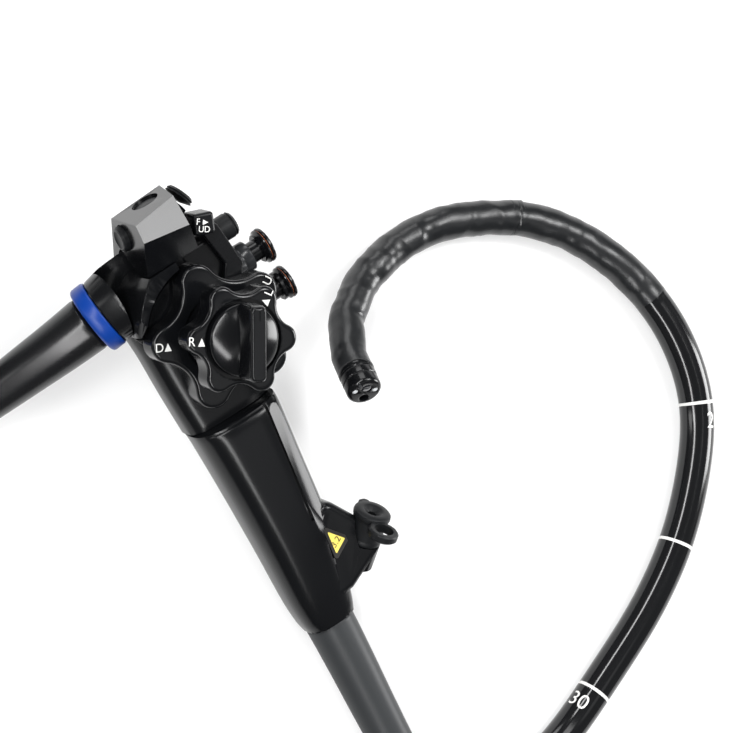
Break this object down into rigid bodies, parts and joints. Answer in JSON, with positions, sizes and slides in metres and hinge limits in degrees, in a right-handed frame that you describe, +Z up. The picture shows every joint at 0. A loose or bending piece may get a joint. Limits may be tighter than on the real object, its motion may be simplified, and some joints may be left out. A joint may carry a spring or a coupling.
{
  "type": "flexible endoscope",
  "caption": "Flexible video endoscope lying on a table: control section with two bending knobs, valves and switches, universal cord with its plug, and insertion tube with a jointed tip",
  "frame": {"origin": "on the table, under the middle of the control section and the bending section together (cords, coils and plug not counted)", "axes": "+Z up from the table, +Y along the control section from its grip to its head, +X towards the valves"},
  "size_m": [0.3843, 0.4399, 0.0808],
  "materials": {
    "gloss black plastic": "gloss",
    "satin black plastic": "satin",
    "black rubber": "matt",
    "grey rubber": "satin",
    "blue plastic": "satin",
    "steel": "brushed",
    "lens glass": "polished"
  },
  "bodies": {
    "body": {"control_housing": "satin black plastic", "back_cover": "satin black plastic", "grip_shell": "satin black plastic", "switch_box": "gloss black plastic", "head_seal": "black rubber", "suction_cylinder": "steel", "air_water_cylinder": "steel", "spindle": "steel", "chassis_plate": "steel", "channel_port": "steel", "port_cap": "black rubber", "grip_boot": "grey rubber", "blue_ring": "blue plastic", "cord_boot": "black rubber", "universal_cord": "satin black plastic", "universal_cord_coil": "satin black plastic", "universal_cord_tail": "satin black plastic", "connector_boot": "black rubber", "connector_housing": "satin black plastic", "light_guide_pin": "steel", "air_pipe": "steel", "electrical_socket": "steel", "insertion_tube_lead": "gloss black plastic", "insertion_tube_coil": "gloss black plastic", "insertion_tube": "gloss black plastic", "passive_section": "black rubber", "base_binding": "gloss black plastic", "bending_base": "steel", "bending_cover": "black rubber"},
    "up_down": {"ud_knob": "gloss black plastic", "ud_shaft": "steel", "ud_drum": "steel"},
    "right_left": {"rl_knob": "gloss black plastic", "rl_shaft": "steel", "rl_drum": "steel"},
    "brake": {"rl_brake_knob": "gloss black plastic"},
    "lock_lever": {"ud_lock_lever": "satin black plastic"},
    "suction_button": {"suction_valve": "gloss black plastic"},
    "air_water_button": {"air_water_valve": "gloss black plastic"},
    "top_button": {"remote_switch_top": "black rubber"},
    "left_button": {"remote_switch_left": "black rubber"},
    "right_button": {"remote_switch_right": "black rubber"},
    "front_button": {"remote_switch_front": "black rubber"},
    "link_01": {"bending_link_01": "steel"},
    "link_02": {"bending_link_02": "steel"},
    "link_03": {"bending_link_03": "steel"},
    "link_04": {"bending_link_04": "steel"},
    "link_05": {"bending_link_05": "steel"},
    "link_06": {"bending_link_06": "steel"},
    "link_07": {"bending_link_07": "steel"},
    "link_08": {"bending_link_08": "steel"},
    "link_09": {"bending_link_09": "steel"},
    "link_10": {"bending_link_10": "steel"},
    "link_11": {"bending_link_11": "steel"},
    "tip": {"tip_body": "gloss black plastic", "tip_lens": "lens glass", "light_guide_left": "lens glass", "light_guide_right": "lens glass", "tip_nozzle": "steel", "tip_binding": "gloss black plastic"}
  },
  "joints": [
    {"name": "ud_turn", "type": "hinge", "parent": "body", "child": "up_down", "pos_m": [-0.0444, 0.0564, 0.04452], "axis": [0, -0.2079, 0.9781], "range_deg": [-132.5, 47.5]},
    {"name": "rl_turn", "type": "hinge", "parent": "body", "child": "right_left", "pos_m": [-0.0444, 0.05307, 0.06017], "axis": [0, -0.2079, 0.9781], "range_deg": [-56, 104]},
    {"name": "brake_turn", "type": "hinge", "parent": "body", "child": "brake", "pos_m": [-0.0444, 0.05141, 0.06799], "axis": [0, -0.2079, 0.9781], "range_deg": [-75, 0]},
    {"name": "lever_turn", "type": "hinge", "parent": "body", "child": "lock_lever", "pos_m": [-0.0444, 0.05775, 0.03816], "axis": [0, -0.2079, 0.9781], "range_deg": [-28, 0]},
    {"name": "suction_press", "type": "slide", "parent": "body", "child": "suction_button", "axis": [-1, 0, 0], "range_m": [0, 0.0032], "stiffness_N_per_m": 400},
    {"name": "air_water_press", "type": "slide", "parent": "body", "child": "air_water_button", "axis": [-1, 0, 0], "range_m": [0, 0.0032], "stiffness_N_per_m": 400},
    {"name": "top_press", "type": "slide", "parent": "body", "child": "top_button", "axis": [0, -0.9781, -0.2079], "range_m": [0, 0.001], "stiffness_N_per_m": 500},
    {"name": "left_press", "type": "slide", "parent": "body", "child": "left_button", "axis": [1, 0, 0], "range_m": [0, 0.001], "stiffness_N_per_m": 500},
    {"name": "right_press", "type": "slide", "parent": "body", "child": "right_button", "axis": [-0.9889, -0.1451, -0.0308], "range_m": [0, 0.001], "stiffness_N_per_m": 500},
    {"name": "front_press", "type": "slide", "parent": "body", "child": "front_button", "axis": [-1, 0, 0], "range_m": [0, 0.001], "stiffness_N_per_m": 500},
    {"name": "bend_01", "type": "hinge", "parent": "body", "child": "link_01", "pos_m": [0.07101, 0.03506, 0.0061], "axis": [0.2538, 0.4308, -0.866], "range_deg": [-18.67, 34.67], "deforming": ["bending_cover"]},
    {"name": "bend_02", "type": "hinge", "parent": "link_01", "child": "link_02", "pos_m": [0.06386, 0.03865, 0.00579], "axis": [0.3721, 0.7829, 0.4985], "range_deg": [-44.17, 15.84]},
    {"name": "bend_03", "type": "hinge", "parent": "link_02", "child": "link_03", "pos_m": [0.05649, 0.04167, 0.00655], "axis": [0.1142, 0.4944, -0.8617], "range_deg": [-18.67, 34.67]},
    {"name": "bend_04", "type": "hinge", "parent": "link_03", "child": "link_04", "pos_m": [0.04866, 0.0433, 0.00645], "axis": [0.1691, 0.845, 0.5073], "range_deg": [-44.17, 15.84]},
    {"name": "bend_05", "type": "hinge", "parent": "link_04", "child": "link_05", "pos_m": [0.04079, 0.04423, 0.00752], "axis": [-0.0541, 0.5218, -0.8513], "range_deg": [-18.67, 34.67]},
    {"name": "bend_06", "type": "hinge", "parent": "link_05", "child": "link_06", "pos_m": [0.0328, 0.04394, 0.00785], "axis": [-0.0096, 0.8523, 0.523], "range_deg": [-44.17, 15.84]},
    {"name": "bend_07", "type": "hinge", "parent": "link_06", "child": "link_07", "pos_m": [0.02512, 0.04272, 0.0097], "axis": [-0.2773, 0.5003, -0.8203], "range_deg": [-18.67, 34.67]},
    {"name": "bend_08", "type": "hinge", "parent": "link_07", "child": "link_08", "pos_m": [0.0175, 0.04064, 0.011], "axis": [-0.1316, 0.8259, 0.5482], "range_deg": [-44.17, 15.84]},
    {"name": "bend_09", "type": "hinge", "parent": "link_08", "child": "link_09", "pos_m": [0.01092, 0.03744, 0.01423], "axis": [-0.5521, 0.3982, -0.7325], "range_deg": [-18.67, 34.67]},
    {"name": "bend_10", "type": "hinge", "parent": "link_09", "child": "link_10", "pos_m": [0.00442, 0.03379, 0.01714], "axis": [-0.1901, 0.7953, 0.5757], "range_deg": [-44.17, 15.84]},
    {"name": "bend_11", "type": "hinge", "parent": "link_10", "child": "link_11", "pos_m": [-0.0001, 0.02924, 0.02192], "axis": [-0.8024, 0.2119, -0.5578], "range_deg": [-18.67, 34.67]},
    {"name": "bend_12", "type": "hinge", "parent": "link_11", "child": "tip", "pos_m": [-0.00431, 0.02369, 0.02586], "axis": [-0.2827, 0.6882, 0.6682], "range_deg": [-44.17, 15.84]}
  ],
  "couplings": [
    {"joint": "bend_01", "follows": "rl_turn", "ratio": 0.33333},
    {"joint": "bend_02", "follows": "ud_turn", "ratio": 0.33333},
    {"joint": "bend_03", "follows": "rl_turn", "ratio": 0.33333},
    {"joint": "bend_04", "follows": "ud_turn", "ratio": 0.33333},
    {"joint": "bend_05", "follows": "rl_turn", "ratio": 0.33333},
    {"joint": "bend_06", "follows": "ud_turn", "ratio": 0.33333},
    {"joint": "bend_07", "follows": "rl_turn", "ratio": 0.33333},
    {"joint": "bend_08", "follows": "ud_turn", "ratio": 0.33333},
    {"joint": "bend_09", "follows": "rl_turn", "ratio": 0.33333},
    {"joint": "bend_10", "follows": "ud_turn", "ratio": 0.33333},
    {"joint": "bend_11", "follows": "rl_turn", "ratio": 0.33333},
    {"joint": "bend_12", "follows": "ud_turn", "ratio": 0.33333}
  ]
}
